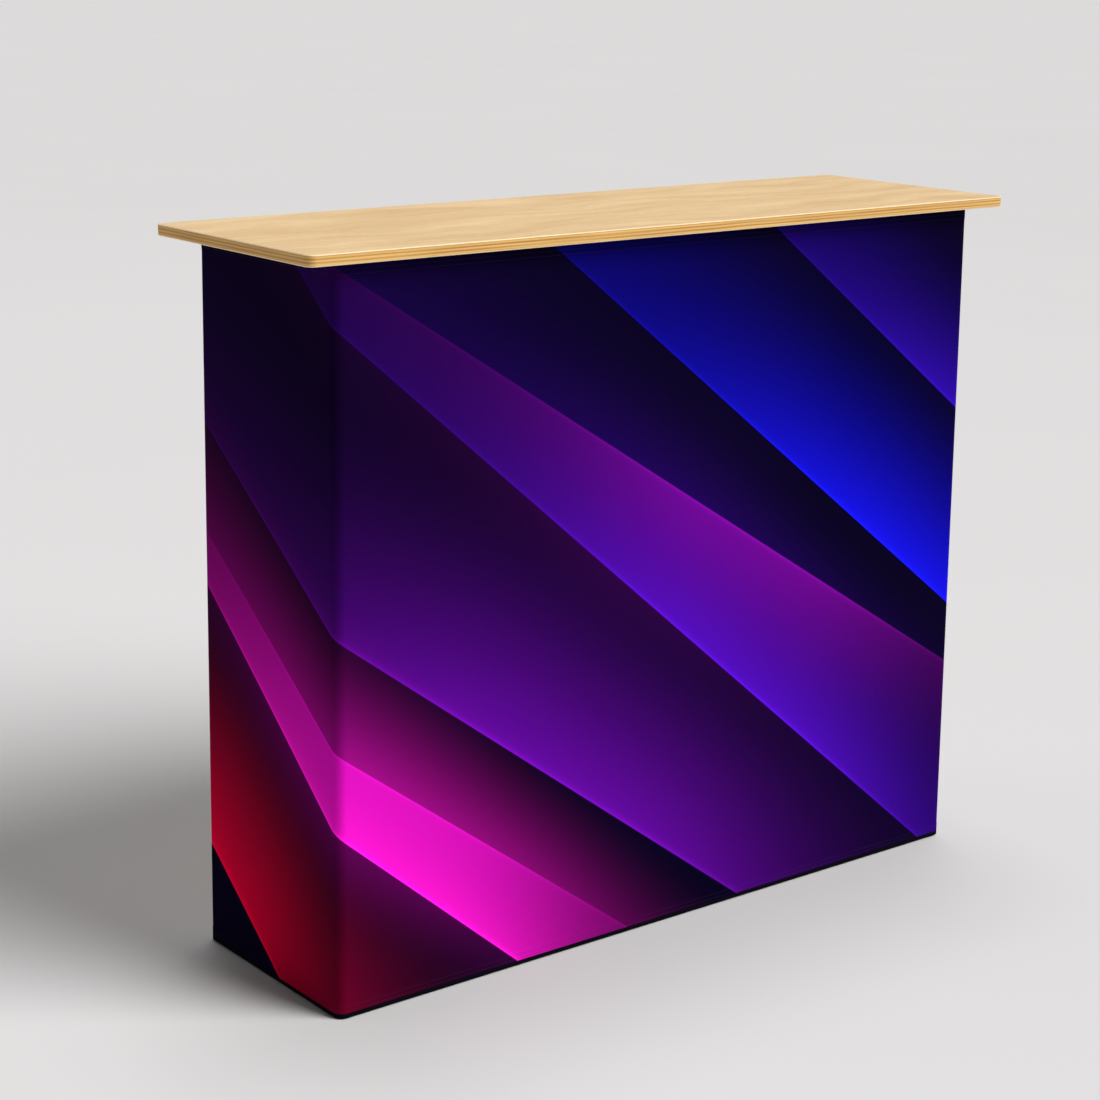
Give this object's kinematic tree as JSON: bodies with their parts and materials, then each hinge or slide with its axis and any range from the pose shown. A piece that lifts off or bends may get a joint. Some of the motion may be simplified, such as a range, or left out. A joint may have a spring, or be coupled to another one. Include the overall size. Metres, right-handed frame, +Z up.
{
  "type": "display counter",
  "caption": "Free-standing display counter: printed fabric cover stretched over a tube frame, open back with a storage shelf, overhanging plywood worktop held by turn catches.",
  "frame": {"origin": "on the floor below the middle of the counter", "axes": "+X along the width, to the right for someone facing the front; the printed front faces -Y and the open back +Y; +Z up"},
  "size_m": [1.22, 0.375, 1],
  "materials": {
    "printed_fabric": "matt knitted polyester with a printed design",
    "plywood": "clear satin lacquer",
    "moulded_nylon": "fine textured black",
    "foot_rubber": "matt",
    "hook_tape": "matt woven",
    "bright_steel": "bright zinc plated",
    "tube_aluminium": "natural anodised"
  },
  "bodies": {
    "counter": {"bottom_rail_back": "tube_aluminium", "bottom_rail_front": "tube_aluminium", "bottom_rail_left": "tube_aluminium", "bottom_rail_right": "tube_aluminium", "button_springs": "bright_steel", "catch_screws": "bright_steel", "connector_bottom_back_left": "moulded_nylon", "connector_bottom_back_right": "moulded_nylon", "connector_bottom_front_left": "moulded_nylon", "connector_bottom_front_right": "moulded_nylon", "connector_top_back_left": "moulded_nylon", "connector_top_back_right": "moulded_nylon", "connector_top_front_left": "moulded_nylon", "connector_top_front_right": "moulded_nylon", "corner_rivets": "bright_steel", "foot_back_left": "foot_rubber", "foot_back_right": "foot_rubber", "foot_front_left": "foot_rubber", "foot_front_right": "foot_rubber", "hook_tapes": "hook_tape", "post_back_left": "tube_aluminium", "post_back_right": "tube_aluminium", "post_front_left": "tube_aluminium", "post_front_right": "tube_aluminium", "printed_cover": "printed_fabric", "saddle_rivets": "bright_steel", "shelf": "plywood", "shelf_rail_left": "tube_aluminium", "shelf_rail_right": "tube_aluminium", "shelf_saddle_back_left": "moulded_nylon", "shelf_saddle_back_right": "moulded_nylon", "shelf_saddle_front_left": "moulded_nylon", "shelf_saddle_front_right": "moulded_nylon", "top_rail_back": "tube_aluminium", "top_rail_front": "tube_aluminium", "top_rail_left": "tube_aluminium", "top_rail_right": "tube_aluminium", "worktop": "plywood"},
    "snap_button_bottom_back_left": {"snap_button_bottom_back_left": "bright_steel"},
    "snap_button_bottom_back_right": {"snap_button_bottom_back_right": "bright_steel"},
    "snap_button_bottom_front_left": {"snap_button_bottom_front_left": "bright_steel"},
    "snap_button_bottom_front_right": {"snap_button_bottom_front_right": "bright_steel"},
    "snap_button_top_back_left": {"snap_button_top_back_left": "bright_steel"},
    "snap_button_top_back_right": {"snap_button_top_back_right": "bright_steel"},
    "snap_button_top_front_left": {"snap_button_top_front_left": "bright_steel"},
    "snap_button_top_front_right": {"snap_button_top_front_right": "bright_steel"},
    "turn_catch_back_left": {"turn_catch_back_left": "moulded_nylon"},
    "turn_catch_back_right": {"turn_catch_back_right": "moulded_nylon"},
    "turn_catch_front_left": {"turn_catch_front_left": "moulded_nylon"},
    "turn_catch_front_right": {"turn_catch_front_right": "moulded_nylon"}
  },
  "joints": [
    {"name": "snap_button_bottom_back_left_press", "type": "slide", "parent": "counter", "child": "snap_button_bottom_back_left", "axis": [0, 1, 0], "range_m": [0, 0.0045], "stiffness_N_per_m": 1500, "springref_m": -0.002, "deforming": ["button_springs"]},
    {"name": "snap_button_bottom_back_right_press", "type": "slide", "parent": "counter", "child": "snap_button_bottom_back_right", "axis": [0, 1, 0], "range_m": [0, 0.0045], "stiffness_N_per_m": 1500, "springref_m": -0.002, "deforming": ["button_springs"]},
    {"name": "snap_button_bottom_front_left_press", "type": "slide", "parent": "counter", "child": "snap_button_bottom_front_left", "axis": [0, -1, 0], "range_m": [0, 0.0045], "stiffness_N_per_m": 1500, "springref_m": -0.002, "deforming": ["button_springs"]},
    {"name": "snap_button_bottom_front_right_press", "type": "slide", "parent": "counter", "child": "snap_button_bottom_front_right", "axis": [0, -1, 0], "range_m": [0, 0.0045], "stiffness_N_per_m": 1500, "springref_m": -0.002, "deforming": ["button_springs"]},
    {"name": "snap_button_top_back_left_press", "type": "slide", "parent": "counter", "child": "snap_button_top_back_left", "axis": [0, 1, 0], "range_m": [0, 0.0045], "stiffness_N_per_m": 1500, "springref_m": -0.002, "deforming": ["button_springs"]},
    {"name": "snap_button_top_back_right_press", "type": "slide", "parent": "counter", "child": "snap_button_top_back_right", "axis": [0, 1, 0], "range_m": [0, 0.0045], "stiffness_N_per_m": 1500, "springref_m": -0.002, "deforming": ["button_springs"]},
    {"name": "snap_button_top_front_left_press", "type": "slide", "parent": "counter", "child": "snap_button_top_front_left", "axis": [0, -1, 0], "range_m": [0, 0.0045], "stiffness_N_per_m": 1500, "springref_m": -0.002, "deforming": ["button_springs"]},
    {"name": "snap_button_top_front_right_press", "type": "slide", "parent": "counter", "child": "snap_button_top_front_right", "axis": [0, -1, 0], "range_m": [0, 0.0045], "stiffness_N_per_m": 1500, "springref_m": -0.002, "deforming": ["button_springs"]},
    {"name": "turn_catch_back_left_turn", "type": "hinge", "parent": "counter", "child": "turn_catch_back_left", "pos_m": [-0.35, 0.126, 0.985], "axis": [0, 0, 1], "range_deg": [-90, 0]},
    {"name": "turn_catch_back_right_turn", "type": "hinge", "parent": "counter", "child": "turn_catch_back_right", "pos_m": [0.35, 0.126, 0.985], "axis": [0, 0, 1], "range_deg": [0, 90]},
    {"name": "turn_catch_front_left_turn", "type": "hinge", "parent": "counter", "child": "turn_catch_front_left", "pos_m": [-0.35, -0.126, 0.985], "axis": [0, 0, 1], "range_deg": [0, 90]},
    {"name": "turn_catch_front_right_turn", "type": "hinge", "parent": "counter", "child": "turn_catch_front_right", "pos_m": [0.35, -0.126, 0.985], "axis": [0, 0, 1], "range_deg": [-90, 0]}
  ]
}
